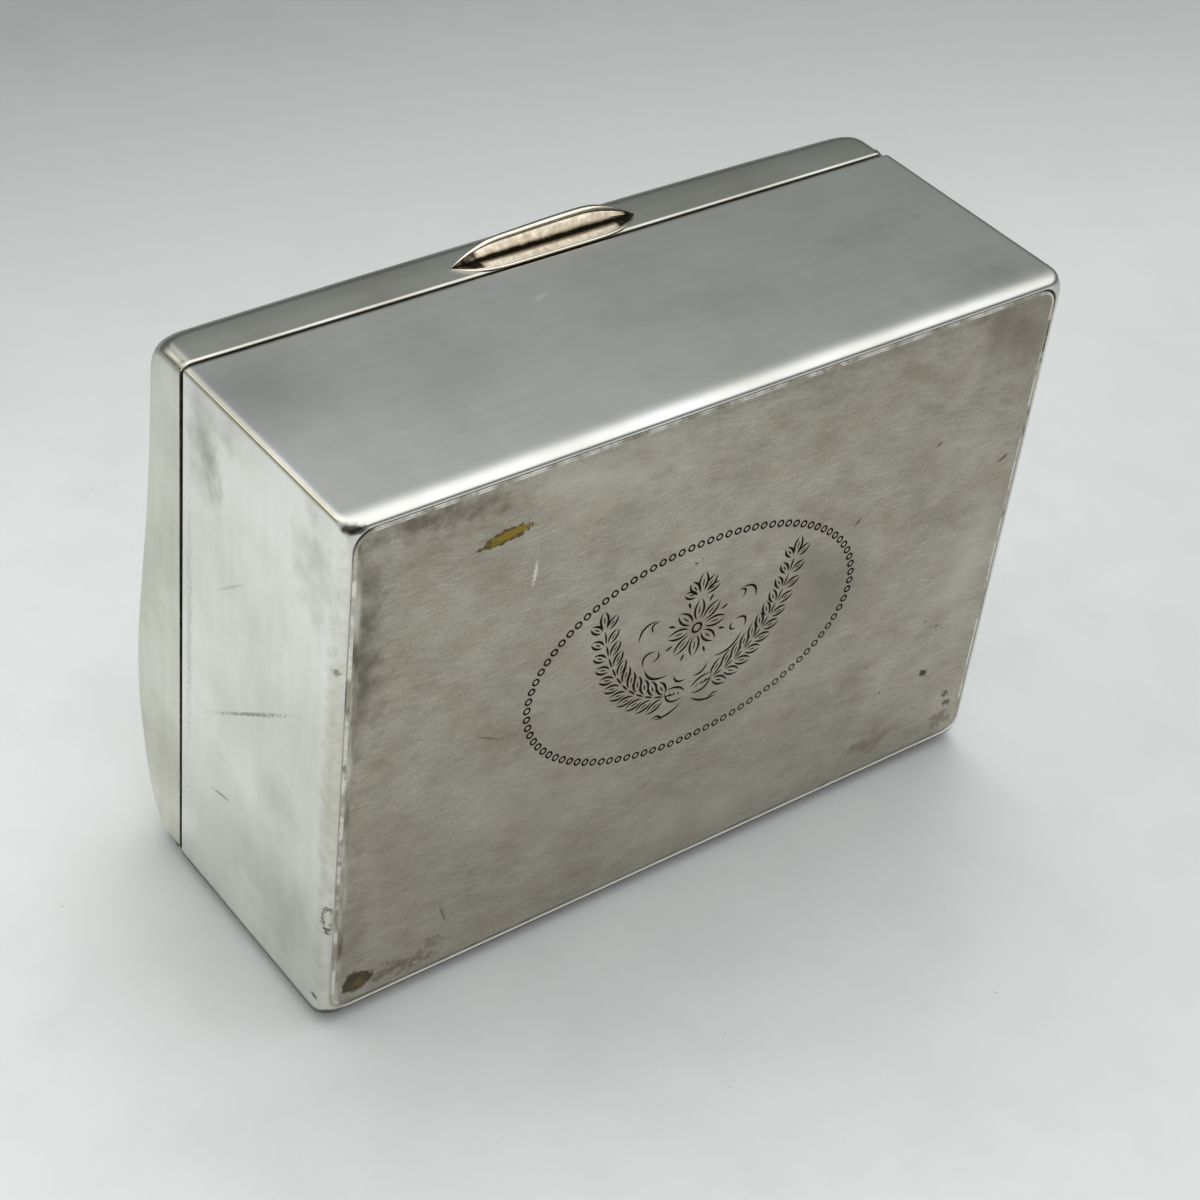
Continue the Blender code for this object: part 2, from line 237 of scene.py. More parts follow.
def new_object(name, shape):
    """Puts a shape into the scene as an object of its own."""
    made = bpy.data.objects.new(name, new_mesh(name, shape))
    bpy.context.scene.collection.objects.link(made)
    return made


def finish_piece(name, shape, finishes, body, slot, *nodes, sharp=35):
    """Turns a shape in millimetres into a piece of the box that rides on a body."""
    bmesh.ops.scale(shape, vec=(MM, MM, MM), verts=shape.verts)
    piece = new_object(name, shape)
    for finish in finishes:
        piece.data.materials.append(finish)
    smooth(piece.data, sharp)
    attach(piece, body)
    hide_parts(*nodes)
    return piece


def smooth(mesh, sharp):
    """Shades a mesh smooth but for edges sharper than so many degrees."""
    mesh.polygons.foreach_set("use_smooth", [True] * len(mesh.polygons))
    mesh.set_sharp_from_angle(angle=math.radians(sharp))


def settle(piece, sharp=35):
    """Applies a piece's modifiers to its mesh."""
    old = piece.data
    now = piece.evaluated_get(bpy.context.evaluated_depsgraph_get())
    piece.data = bpy.data.meshes.new_from_object(now)
    piece.modifiers.clear()
    bpy.data.meshes.remove(old)
    piece.data.name = piece.name
    smooth(piece.data, sharp)


def round_drop(distance, depth, height):
    """How far a rounded edge has fallen at a distance in from the side that it meets."""
    reach = min(max(1 - distance / depth, 0), 1)
    return height * (1 - math.sqrt(1 - reach ** 2))


def lift_corner(height):
    """The lower corners are rounded off further, most at the table and less up the wall."""
    fade = max(1 - height / 6, 0) ** 2
    return lambda spot: fade * round_drop(HALF_WIDTH - abs(spot.x) + HALF_DEPTH - abs(spot.y), 4.0, 2.0)


def cut_away(piece, name, cutter, use_self=False, sharp=35):
    """Cuts one object's shape out of a piece and removes the cutter."""
    modifier = piece.modifiers.new(name, "BOOLEAN")
    modifier.operation = "DIFFERENCE"
    modifier.solver = "EXACT"
    modifier.use_self = use_self
    modifier.object = cutter
    settle(piece, sharp)
    bpy.data.objects.remove(cutter, do_unlink=True)


def cut_groove(piece):
    """Cuts the hollow along the back edges of body and lid in which the knuckles lie."""
    shape = bmesh.new()
    bmesh.ops.create_cone(shape, cap_ends=True, segments=64, radius1=GROOVE_RADIUS, radius2=GROOVE_RADIUS,
                          depth=GROOVE_LENGTH)
    bmesh.ops.rotate(shape, matrix=Matrix.Rotation(math.pi / 2, 3, "Y"), verts=shape.verts)
    bmesh.ops.translate(shape, vec=(0, HINGE_Y, HINGE_Z), verts=shape.verts)
    bmesh.ops.scale(shape, vec=(MM, MM, MM), verts=shape.verts)
    cut_away(piece, "groove", new_object("hinge_groove", shape))


body_plate, tree, shader, place, shade = silver_plate(
    "buffed_silver_plate", "#EBECE7", "#D4D3CB", 0.28, 0.31, (7, 7, 1))
x, y, z = axes(tree, place)
# Smudges and scratches on the left end, and one pale patch of painted light towards its back
on_left = spread(tree, x, -62.2 * MM, -62.6 * MM)
flat = add_node(tree, "ShaderNodeCombineXYZ", links={0: y, 1: z}).outputs[0]
marks = [
    ((-37, 35), 11, 5, -0.1, 0.35, 1, "#8B8880", 0.55), ((-34, 33), 7, 3, -0.4, 0.5, 1, "#807D75", 0.4),
    ((-41.5, 29), 4, 3.2, 0.5, 0.4, 1, "#8F8C84", 0.35), ((0, 38.5), 30, 1, 0, 0.6, 1, "#9A978E", 0.35),
    ((44.5, 33), 2, 9, 0, 0.4, 1, "#A09E96", 0.25), ((34, 10), 12, 5, 0.3, 0.5, 1, "#C2BFB4", 0.35),
    # The near-white patch at (40, 20) is painted light that brightens the end towards the table
    ((-35, 7), 12, 6, 0, 0.5, 1, "#B0ACA1", 0.55), ((40, 20), 8, 9, 0, 0.4, 1, "#FBFBF6", 0.6),
    ((12, 14), 9, 6, 0.4, 0.5, 1, "#C4C1B6", 0.35), ((0, 1), 50, 2.2, 0, 0.4, 0.9, "#BDB7A2", 0.6),
    ((24.8, 0.4), 3, 1.1, 0, 0.4, 0.3, "#4F4B3D", 0.9),
    ((24.6, 0.45), 2.2, 0.7, 0, 0.5, 0.4, "#E2DFD2", 0.85),
    ((-21, 0.9), 0.7, 0.9, 0, 0.6, 0.5, "#7D7869", 0.7),
    ((1.4, 20.9), 11.6, 0.34, 0.94, 0.8, 0.5, "#77746B", 0.75),
    ((23.2, 29), 2.7, 0.28, 1.36, 0.4, 0.5, "#6F6C64", 0.75),
    ((-17, 27.2), 6, 0.3, 0.88, 0.5, 0.8, "#8F8C84", 0.4),
    ((41.5, 2.2), 0.5, 0.9, 0.2, 0.4, 0.4, "#57534A", 0.8)]
shade = lay_marks(tree, flat, marks, shade, on_left)
# Fainter clouds, and a painted highlight for one small dent on the front
on_front = spread(tree, y, -44.7 * MM, -45.0 * MM)
flat = add_node(tree, "ShaderNodeCombineXYZ", links={0: x, 1: z}).outputs[0]
marks = [
    ((-58, 32), 14, 13, 0.3, 0.3, 1, "#A5A9A5", 0.5), ((-33, 22), 16, 7, 0.3, 0.4, 1, "#C9CBC6", 0.4),
    ((52, 6), 16, 6, 0, 0.4, 1, "#AAA9A0", 0.35), ((8, 20), 22, 6, -0.1, 0.5, 1, "#C4C6C0", 0.3),
    # The white patch at (-10.3, 32.2) is a painted highlight; the dent itself is not modelled
    ((-10.3, 32.2), 1.9, 0.8, 0.25, 0.5, 1, "#FFFFFF", 0.9), ((44, 24), 14, 4, 0.2, 0.5, 1, "#B5B4AB", 0.3)]
shade = lay_marks(tree, flat, marks, shade, on_front)
# Painted shade along its lower back edge, where it stands against the table: darker and less metallic there
back_edge_shade = work(tree, "MULTIPLY", spread(tree, y, 44.2 * MM, 44.8 * MM), spread(tree, z, 3.0 * MM, 1.5 * MM))
shade = blend_colour(tree, work(tree, "MULTIPLY", back_edge_shade, 0.85), shade, "#4A4741")
tree.links.new(work(tree, "SUBTRACT", 1, work(tree, "MULTIPLY", back_edge_shade, 0.7)), shader.inputs["Metallic"])
# A dark brown wedge is painted at the lower front left corner, within 2 mm of the bottom
wedge = work(tree, "MULTIPLY", patch(tree, place, (-61.9, -44.3), 2.4, 0.8, 0.1, 0.12, 0.5),
             spread(tree, z, 1.9 * MM, 1.2 * MM))
shade = blend_colour(tree, work(tree, "MULTIPLY", wedge, 0.9), shade, "#3A2E20")
# Nickel silver shows yellow where the plate has worn through along the upright corners
near_x = spread(tree, work(tree, "ABSOLUTE", x, 0), 62.8 * MM, 63.1 * MM)
near_y = spread(tree, work(tree, "ABSOLUTE", y, 0), 44.6 * MM, 44.9 * MM)
worn = work(tree, "MULTIPLY", work(tree, "MULTIPLY", near_x, near_y),
            spread(tree, grain(tree, place, 2, 3, (1, 1, 6)), 0.3, 0.6, 0.2, 0.5))
tree.links.new(blend_colour(tree, worn, shade, "#EFE6BE"), shader.inputs["Base Color"])

rings = [outline(*row) for row in (
    (SHEET, 0.5, 2, 1.6), (SHEET, 0.5, 2, 30), (SHEET, 0.5, 2, BODY_TOP - 0.22),
    (SHEET - 0.07, 0.55, 2, BODY_TOP - 0.06), (SHEET - 0.24, 0.6, 2, BODY_TOP), (0.24, 1.3, 3.4, BODY_TOP),
    (0.07, 1.45, 3.6, BODY_TOP - 0.06), (0, 1.5, 3.6, BODY_TOP - 0.22))]
for height in (BODY_TOP - 0.5, 34, 27, 20, 14, 9, 6, 4.8):
    rings.append(outline(0, 1.5, 3.6, height, lift_corner(height)))
for height in (4.2, 3.6, 3.05, 2.55, 2.12, 1.76, 1.46, 1.2, 0.98, 0.79, 0.62, 0.47, 0.34, 0.23, 0.14, 0.07, 0.02, 0):
    share = 1 - height / EDGE_RISE
    inset = EDGE_TURN * (1 - math.sqrt(1 - share ** 4))
    turned = inset / EDGE_TURN
    rings.append(outline(inset, 1.5 + 1.7 * turned, 3.6 - 1.6 * turned, height, lift_corner(height)))
rings += [outline(*row) for row in (
    (1.25, 3.2, 2, 0.01), (1.29, 3.16, 2, 0.06), (1.3, 3.15, 2, 0.7), (1.1, 2, 2, 1.2))]
body_shape = skin_over(rings, closed=True)
for face in body_shape.faces:
    face.material_index = face.calc_center_median().z > BODY_TOP - 0.04
bare_edge, tree, shader, place = new_finish("tarnished_sheet_edge", "#3F3A30", 0.8, 0.5)
tree.links.new(blend_colour(tree, spread(tree, grain(tree, place, 1.5, 4), 0.4, 0.65), "#2E2A22", "#5A5344"),
               shader.inputs["Base Color"])
body_wall = finish_piece("body_wall", body_shape, [body_plate, bare_edge], "box_base", "polished_plate", "body_shell")
cut_groove(body_wall)


# Base: a flat plate let into the bottom, held by soft solder that has gone dark in the joint.
# Its rim is rubbed bright, and its face is brushed along the width, scuffed and stained.
# An oval of punched rings frames a rosette and two sprays of leaves, cut with a graver.
PLATE_INSET = 1.56
FACE_INSET = 2.1
ENGRAVING_DEPTH = 0.12
RING_COUNT = 92
OVAL_MIDDLE = Vector((-0.9, -0.7))
OVAL_HALF = Vector((30.3, 19.1))
PLATE_CELLS = 18


def hairlines(tree, place, stretch, turn, sparse):
    """Thin scratches, much longer than wide and all leaning one way, kept only here and there."""
    streaks = grain(tree, place, 0.2, 1, stretch, turn)
    kept = spread(tree, grain(tree, place, 9, 2), sparse, sparse + 0.08)
    return work(tree, "MULTIPLY", spread(tree, streaks, 0.66, 0.72), kept)


base_plate_finish, tree, shader, place = new_finish("worn_brushed_silver_plate", "#B3AEA2", 1.0, 0.4)
cloud = spread(tree, grain(tree, place, 15, 5), 0.34, 0.68)
mottle = spread(tree, grain(tree, place, 2.4, 5, (2.4, 1, 1), (0, 0, 0.15)), 0.4, 0.66)
blush = spread(tree, grain(tree, place, 9, 4, (1.4, 1, 1), (0, 0, 0.4)), 0.46, 0.72)
sand = grain(tree, place, 0.5, 5, roughness=0.7)
brushing = grain(tree, place, 0.32, 3, (9, 1, 1))
cross = grain(tree, place, 0.3, 2, (1, 5, 1))
scratch = work(tree, "MAXIMUM", hairlines(tree, place, (40, 1, 1), (0, 0, -0.12), 0.5),
               hairlines(tree, place, (50, 1, 1), (0, 0, 0.3), 0.54))
shade = blend_colour(tree, work(tree, "MULTIPLY", cloud, 0.8), "#BDB7AA", "#A19A8C")
shade = blend_colour(tree, work(tree, "MULTIPLY", mottle, 0.45), shade, "#CFCABE")
shade = blend_colour(tree, work(tree, "MULTIPLY", blush, 0.42), shade, "#A08C7A")
shade = blend_colour(tree, spread(tree, sand, 0.4, 0.75, 0.0, 0.45), shade, "#827B6D")
shade = blend_colour(tree, spread(tree, brushing, 0.4, 0.75, 0.0, 0.32), shade, "#7C7668")
shade = blend_colour(tree, spread(tree, cross, 0.4, 0.75, 0.0, 0.12), shade, "#D0CCC2")
shade = blend_colour(tree, work(tree, "MULTIPLY", scratch, 0.5), shade, "#DAD7CE")
# Broad clouds of tarnish and of rubbing, darker bands along the left and front edges, and a pale cloud of painted
# light towards the back, then each mark seen on it, with its own outline and fill
marks = [
    ((-22, -38), 16, 7, 0.1, 0.3, 1, "#D8D3C8", 0.5), ((57, -38), 13, 10, 0.5, 0.4, 1, "#7C7063", 0.7),
    ((56, 6), 9, 15, 0.2, 0.3, 1, "#D6D1C5", 0.45), ((25, 0), 17, 15, 0.3, 0.3, 1, "#847F74", 0.6),
    ((0, 13), 14, 6, 0.1, 0.4, 1, "#8F8A7F", 0.4), ((-60, -22), 4.2, 24, 0, 0.5, 1, "#615B4F", 0.75),
    ((-50, -42), 16, 3.4, 0.1, 0.5, 1, "#675D50", 0.75), ((-59, 28), 3, 16, 0, 0.5, 1, "#80786A", 0.4),
    ((20, -42.6), 45, 1.4, 0, 0.5, 1, "#7E7668", 0.4), ((40.5, 38), 6, 3, 0, 0.5, 0.8, "#85715A", 0.55),
    # The pale cloud at (10, 36) is painted light that lifts the back of the plate, near the table
    ((-30, 20), 22, 12, 0.2, 0.3, 1, "#C4BEB1", 0.3), ((10, 36), 30, 8, 0, 0.3, 1, "#CFCABE", 0.45),
    ((-54, 20), 8, 20, 0, 0.3, 1, "#9C8F82", 0.35),
    ((-37.9, -34.5), 4.4, 1.15, -0.12, 0.4, 0.12, "#5B4A1E", 0.9),
    ((-37.2, -34.6), 3.7, 0.8, -0.12, 0.4, 0.25, "#9A8136", 0.9),
    ((-57.6, 39.8), 2.7, 2.3, 0, 0.3, 0.2, "#443A24", 0.9),
    ((-57.2, 40.3), 1.3, 1.2, 0, 0.5, 0.5, "#77663F", 0.9),
    ((-50.5, 40.6), 7, 1.8, 0.12, 0.8, 0.8, "#665C42", 0.6),
    ((-44.5, 38.5), 2, 1.4, 0.3, 0.6, 0.6, "#7A7056", 0.45),
    ((51.1, 27.3), 1.2, 0.8, 0.3, 0.4, 0.3, "#3E3A30", 0.9),
    ((57.7, 34.6), 0.8, 0.7, 0, 0.6, 0.3, "#4A4435", 0.8),
    ((58.6, 36.8), 1, 0.8, 0.6, 0.6, 0.3, "#4A4435", 0.8),
    ((57.6, 40.4), 2.6, 2, 0.3, 0.7, 0.6, "#6A6048", 0.55),
    ((58.5, -13.5), 1.3, 0.3, -0.5, 0.2, 0.4, "#4A453A", 0.9),
    ((-32.3, -26.2), 0.4, 2.5, 0.08, 0.5, 0.5, "#E8E6DE", 0.8),
    ((43.3, -21.3), 0.7, 0.25, -0.6, 0.3, 0.4, "#57523F", 0.8),
    ((48.9, 15.6), 0.3, 0.3, 0, 0.3, 0.5, "#4A453A", 0.8),
    ((51.8, 17.6), 0.3, 0.3, 0, 0.3, 0.5, "#4A453A", 0.8),
    ((28.8, -12), 1, 0.3, -0.9, 0.3, 0.4, "#5C5648", 0.8),
    ((37.3, 20.3), 0.35, 0.25, 0, 0.3, 0.5, "#4A453A", 0.7),
    ((41.6, 27.5), 0.3, 0.3, 0, 0.3, 0.5, "#4A453A", 0.7),
    ((-2.9, -16.4), 0.35, 0.2, 0.4, 0.3, 0.4, "#3E3830", 0.9),
    ((-1.9, -16.9), 0.2, 0.2, 0, 0.3, 0.4, "#5C5050", 0.9),
    ((-43.0, 33.5), 0.3, 2.4, -0.35, 0.5, 0.5, "#6C6350", 0.6),
    ((-37.5, 1.5), 2.8, 0.25, 0.5, 0.5, 0.5, "#6C6656", 0.6)]
shade = lay_marks(tree, place, marks, shade)
# Along the left edge the solder is smeared over the plate, bright in places and dirty in others
x, y, z = axes(tree, place)
wander = spread(tree, grain(tree, place, 2.5, 3, (1, 3, 1)), 0.3, 0.7, -0.35 * MM, 0.35 * MM)
ragged_edge = work(tree, "ADD", x, wander)
smeared = spread(tree, ragged_edge, -60.2 * MM, -61.0 * MM, 0.0, 0.8)
lump = grain(tree, place, 1.8, 4, (1, 5, 1))
smear_tint = blend_colour(tree, spread(tree, lump, 0.42, 0.6), "#D3D0C6", "#8A8475")
smear_tint = blend_colour(tree, spread(tree, lump, 0.6, 0.68, 0.0, 0.75), smear_tint, "#4C463A")
shade = blend_colour(tree, smeared, shade, smear_tint)
tree.links.new(shade, shader.inputs["Base Color"])
haze = work(tree, "ADD", spread(tree, cloud, 0.0, 1.0, 0.36, 0.46), spread(tree, brushing, 0.3, 0.7, -0.04, 0.05))
tree.links.new(haze, shader.inputs["Roughness"])
height = work(tree, "ADD", brushing, work(tree, "ADD", work(tree, "MULTIPLY", cross, 0.5), sand))
height = work(tree, "SUBTRACT", height, scratch)
emboss(tree, shader, height, 0.6, 0.012)

# The graver's cuts and the punched rings hold black polish, rubbed out towards the back right
cut_finish, tree, shader, place = new_finish("blackened_engraving", "#2A241B", 0.0, 0.85)
shader.inputs["Specular IOR Level"].default_value = 0.1
rubbed = patch(tree, place, (22, 16), 26, 14, 0.0, 0.25, 0.9)
shade = blend_colour(tree, spread(tree, grain(tree, place, 1.5, 4), 0.4, 0.68), "#150F08", "#30271A")
tree.links.new(blend_colour(tree, work(tree, "MULTIPLY", rubbed, 0.5), shade, "#77705F"), shader.inputs["Base Color"])

rim_finish, tree, shader, place = new_finish("rubbed_plate_rim", "#C6C1B4", 1.0, 0.3)
shade = blend_colour(tree, spread(tree, grain(tree, place, 4, 4), 0.42, 0.58), "#E4E1D8", "#A9A293")
shade = blend_colour(tree, spread(tree, grain(tree, place, 3, 4), 0.54, 0.64, 0.0, 0.5), shade, "#5A5446")
x, y, z = axes(tree, place)
# Painted shade darkens the rim along the back, where the box stands against the table
rear_rim_shade = spread(tree, y, 42.6 * MM, 43.2 * MM, 0.0, 0.7)
tree.links.new(blend_colour(tree, rear_rim_shade, shade, "#6B665B"), shader.inputs["Base Color"])


def straight_cut():
    """A straight three-sided sliver two long and two wide, which each cut of the graver is bent from."""
    shape = bmesh.new()
    bmesh.ops.create_cone(shape, cap_ends=True, segments=3, radius1=1, radius2=1, depth=2)
    lengthwise = [e for e in shape.edges if abs(e.verts[0].co.z - e.verts[1].co.z) > 1]
    bmesh.ops.subdivide_edges(shape, edges=lengthwise, cuts=6, use_grid_fill=True)
    # It is bent into a mirrored frame, which turns it inside out, so it starts that way round
    bmesh.ops.recalc_face_normals(shape, faces=shape.faces)
    bmesh.ops.reverse_faces(shape, faces=shape.faces)
    return new_mesh("straight_cut", shape)


def ring_cut(outer, inner):
    """What one blow of a ring punch presses out: a round groove with the metal left standing inside it."""
    shape = bmesh.new()
    corners = ((inner, -0.05), (inner + 0.08, ENGRAVING_DEPTH), (outer - 0.08, ENGRAVING_DEPTH), (outer, -0.05))
    verts = bmesh.ops.create_circle(shape, segments=4, radius=1)["verts"]
    for vert, (radius, depth) in zip(verts, corners):
        vert.co = (radius, 0, depth)
    bmesh.ops.spin(shape, geom=shape.verts[:] + shape.edges[:], cent=(0, 0, 0), axis=(0, 0, 1), angle=math.tau,
                   steps=18, use_merge=True)
    bmesh.ops.recalc_face_normals(shape, faces=shape.faces)
    return new_mesh("ring_cut", shape)


def add_copy(cuts, mesh):
    """Adds a copy of a mesh and gives its points."""
    known = len(cuts.verts)
    cuts.from_mesh(mesh)
    cuts.verts.ensure_lookup_table()
    return cuts.verts[known:]


def cut_stroke(cuts, start, end, bulge, width):
    """One cut of the graver, tapered at both ends and as deep as it is wide."""
    start, end = Vector(start), Vector(end)
    run = end - start
    bend = (start + end) / 2 + Vector((-run.y, run.x)) * bulge * 2
    for vert in add_copy(cuts, sliver):
        t, across, deep = (vert.co.z + 1) / 2, vert.co.x / 0.866, (vert.co.y + 0.5) / 1.5
        spot = start * (1 - t) ** 2 + bend * 2 * t * (1 - t) + end * t ** 2
        heading = ((bend - start) * (1 - t) + (end - bend) * t).normalized()
        fullness = max(math.sin(math.pi * t), 0) ** 0.6 * 0.85 + 0.15
        spot += Vector((-heading.y, heading.x)) * across * width * fullness
        vert.co = (OVAL_MIDDLE.x + spot.x, OVAL_MIDDLE.y - spot.y, ENGRAVING_DEPTH * (deep * (fullness + 0.4) - 0.4))


def punch(cuts, mesh, spot):
    """Adds a copy of a mesh at a spot on the plate."""
    bmesh.ops.translate(cuts, vec=(spot.x, spot.y, 0), verts=add_copy(cuts, mesh))


def cut_leaf(cuts, root, angle, length):
    """A leaf of three cuts: two sides that nearly meet at root and tip, and a midrib."""
    way = Vector((math.cos(angle), math.sin(angle)))
    side = Vector((-way.y, way.x))
    root = Vector(root)
    tip = root + way * length
    cut_stroke(cuts, root + side * 0.2, tip + side * 0.16, 0.17, 0.3)
    cut_stroke(cuts, root - side * 0.2, tip - side * 0.16, -0.17, 0.3)
    cut_stroke(cuts, root + way * length * 0.25, tip - way * length * 0.32, 0.0, 0.18)


cuts = bmesh.new()
sliver, small_ring, large_ring = straight_cut(), ring_cut(0.7, 0.33), ring_cut(1.05, 0.6)
# Even steps along the oval, found by walking round it in small turns
turns = [math.tau * k / 4000 for k in range(4001)]
walk = [0.0]
for a, b in zip(turns, turns[1:]):
    walk.append(walk[-1] + math.hypot(OVAL_HALF.x * (math.cos(b) - math.cos(a)),
                                      OVAL_HALF.y * (math.sin(b) - math.sin(a))))
for i in range(RING_COUNT):
    reached = turns[next(k for k, gone in enumerate(walk) if gone >= walk[-1] * i / RING_COUNT)]
    punch(cuts, small_ring, OVAL_MIDDLE + Vector((OVAL_HALF.x * math.cos(reached), OVAL_HALF.y * math.sin(reached))))
# Rosette of eight petals round a punched ring, with a bud between each two
heart = Vector((0, 3.0))
punch(cuts, large_ring, OVAL_MIDDLE - heart)
for i in range(8):
    turn = math.tau * i / 8
    cut_leaf(cuts, heart + Vector((math.cos(turn), math.sin(turn))) * 1.5, turn, 3.9)
    turn += math.tau / 16
    way = Vector((math.cos(turn), math.sin(turn)))
    cut_stroke(cuts, heart + way * 4.6, heart + way * 6.0, 0.0, 0.3)
# A sprig of five leaves above the rosette
for lean, length in ((-1.15, 2.6), (-0.6, 3.2), (0, 3.7), (0.6, 3.2), (1.15, 2.6)):
    turn = math.pi / 2 + lean
    cut_leaf(cuts, (math.cos(turn) * 1.0, 9.0 + math.sin(turn) * 0.7), turn, length)
# Two sprays of laurel that nearly meet under the rosette and rise on either side of it
for side in (-1, 1):
    stem = [Vector((side * -3.4, -9.2)), Vector((side * 15.0, -10.4)), Vector((side * 17.8, 10.8))]
    knots = []
    for k in range(12):
        t = 0.17 + 0.8 * k / 11
        knots.append((stem[0] * (1 - t) ** 2 + stem[1] * 2 * t * (1 - t) + stem[2] * t ** 2,
                      ((stem[1] - stem[0]) * (1 - t) + (stem[2] - stem[1]) * t).normalized()))
    for (spot, heading), (beyond, _) in zip(knots, knots[1:]):
        cut_stroke(cuts, spot.lerp(beyond, 0.05), spot.lerp(beyond, 0.95), 0.02 * side, 0.24)
    for k, (spot, heading) in enumerate(knots[1:]):
        for lean in (-1, 1):
            away = Vector((-heading.y, heading.x)) * lean * 0.5
            cut_leaf(cuts, spot + away, math.atan2(heading.y, heading.x) + lean * 0.78, 3.3 - 0.07 * k)
    tip, heading = knots[-1]
    cut_leaf(cuts, tip + heading * 0.6, math.atan2(heading.y, heading.x), 3.0)
    # Scrolls between the rosette and the spray: an open curl and a shorter one that answers it
    scrolls = ((4.2, -4.2, 9.2, -1.2, -0.22, 0.32), (9.5, -0.7, 7.4, 1.5, -0.42, 0.3),
               (7.0, 1.3, 7.9, -0.4, -0.4, 0.26), (3.2, -4.9, 0.6, -6.6, 0.25, 0.3),
               (7.8, 7.4, 10.9, 4.4, 0.3, 0.3), (7.3, 7.2, 8.3, 5.3, 0.45, 0.26))
    # Half of the tied bow under them, shaded with short cuts
    bow = ((0.5, -9.0, 4.2, -7.4, 0.16, 0.28), (4.5, -7.6, 0.6, -10.0, 0.3, 0.28),
           (0.9, -11.0, 6.2, -12.4, -0.14, 0.3), (6.5, -12.1, 4.4, -13.2, -0.3, 0.26))
    for x0, y0, x1, y1, bulge, width in scrolls + bow:
        cut_stroke(cuts, (side * x0, y0), (side * x1, y1), bulge * side, width)
    for k in range(3):
        cut_stroke(cuts, (side * (1.5 + 0.8 * k), -9.3 + 0.22 * k), (side * (2.0 + 0.8 * k), -8.6 + 0.22 * k),
                   0.0, 0.16)
for face in cuts.faces:
    face.material_index = 1
bmesh.ops.scale(cuts, vec=(MM, MM, MM), verts=cuts.verts)
engraver = new_object("cuts", cuts)

panel_shape = skin_over([outline(*row) for row in (
    (FACE_INSET, 2.6, 2.2, 0), (1.92, 2.7, 2.2, 0.012), (1.62, 3.2, 2.1, 0.1), (PLATE_INSET, 3.4, 2.1, 0.17),
    (PLATE_INSET, 3.4, 2.1, 0.95))])
for face in panel_shape.faces:
    face.material_index = 2
open_edges = [e for e in panel_shape.edges if e.is_boundary]
for face in bmesh.ops.holes_fill(panel_shape, edges=open_edges, sides=0)["faces"]:
    face.material_index = 0
# Cells of a few millimetres keep the engraved face clean, with only a few cuts in each
for half, way in ((HALF_WIDTH, Vector((1, 0, 0))), (HALF_DEPTH, Vector((0, 1, 0)))):
    for k in range(1, PLATE_CELLS):
        bmesh.ops.bisect_plane(panel_shape, geom=panel_shape.verts[:] + panel_shape.edges[:] + panel_shape.faces[:],
                               dist=0.001, plane_co=way * (2 * k / PLATE_CELLS - 1) * half * 0.955, plane_no=way)
bmesh.ops.recalc_face_normals(panel_shape, faces=panel_shape.faces)
base_panel = finish_piece("base_panel", panel_shape, [base_plate_finish, cut_finish, rim_finish], "box_base",
                          "worn_plate", "base_plate", sharp=20)
cut_away(base_panel, "engraving", engraver, use_self=True, sharp=20)
for spare in (sliver, small_ring, large_ring):
    bpy.data.meshes.remove(spare)

solder, tree, shader, place = new_finish("dark_soft_solder", "#4A463E", 0.25, 0.65)
x, y, z = axes(tree, place)
front_side = spread(tree, y, -38 * MM, -43 * MM)
rear_side = spread(tree, y, -25 * MM, 10 * MM)
shade = blend_colour(tree, spread(tree, grain(tree, place, 4, 4), 0.54, 0.62), "#C2BDB0", "#5C5649")
shade = blend_colour(tree, work(tree, "MULTIPLY", rear_side, 0.8), shade, "#BDB8AB")
tree.links.new(blend_colour(tree, front_side, shade, "#2A251D"), shader.inputs["Base Color"])
emboss(tree, shader, grain(tree, place, 0.7, 4), 0.8, 0.06)
joint = skin_over([outline(*row) for row in (
    (1.26, 3.2, 2, 0.5), (1.27, 3.2, 2, 0.12), (1.35, 3.2, 2, 0.08), (1.48, 3.3, 2, 0.1), (1.57, 3.4, 2, 0.18),
    (1.58, 3.4, 2, 0.5))], closed=True)
finish_piece("solder_joint", joint, [solder], "box_base", "worn_plate")


# Lining: thin boards of cigar-box cedar, planed and left raw, pressed in without glue.
# The front and back boards are housed for a divider that drops in from above.
def cedar_finish(name, stretch):
    """Raw cedar: reddish growth bands and short dark pores that run with the grain."""
    finish, tree, shader, place = new_finish(name, "#A8683F", 0.0, 0.62)
    bands = grain(tree, place, 2.6, 5, stretch)
    pores = grain(tree, place, 0.28, 3, stretch)
    shade = blend_colour(tree, spread(tree, bands, 0.3, 0.7), "#8A4F2F", "#BC8054")
    shade = blend_colour(tree, spread(tree, pores, 0.52, 0.72, 0.0, 0.6), shade, "#5E3320")
    shade = blend_colour(tree, spread(tree, grain(tree, place, 40, 2), 0.4, 0.65, 0.0, 0.35), shade, "#C99A70")
    tree.links.new(shade, shader.inputs["Base Color"])
    emboss(tree, shader, pores, 0.5, 0.05)
    return finish


def eased_copy(node, ease, segments=2):
    """A copy of a CAD node's shape with its sharp edges eased, in millimetres."""
    shape = bmesh.new()
    shape.from_mesh(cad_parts[node].data)
    bmesh.ops.scale(shape, vec=(1 / MM, 1 / MM, 1 / MM), verts=shape.verts)
    bmesh.ops.remove_doubles(shape, verts=shape.verts, dist=0.001)
    bmesh.ops.dissolve_limit(shape, angle_limit=math.radians(1), verts=shape.verts, edges=shape.edges)
    bmesh.ops.recalc_face_normals(shape, faces=shape.faces)
    sharp = [e for e in shape.edges if e.is_manifold and e.calc_face_angle(0) > math.radians(40)]
    bmesh.ops.bevel(shape, geom=sharp, offset=ease, offset_type="OFFSET", segments=segments, profile=0.5,
                    affect="EDGES", material=-1)
    return shape


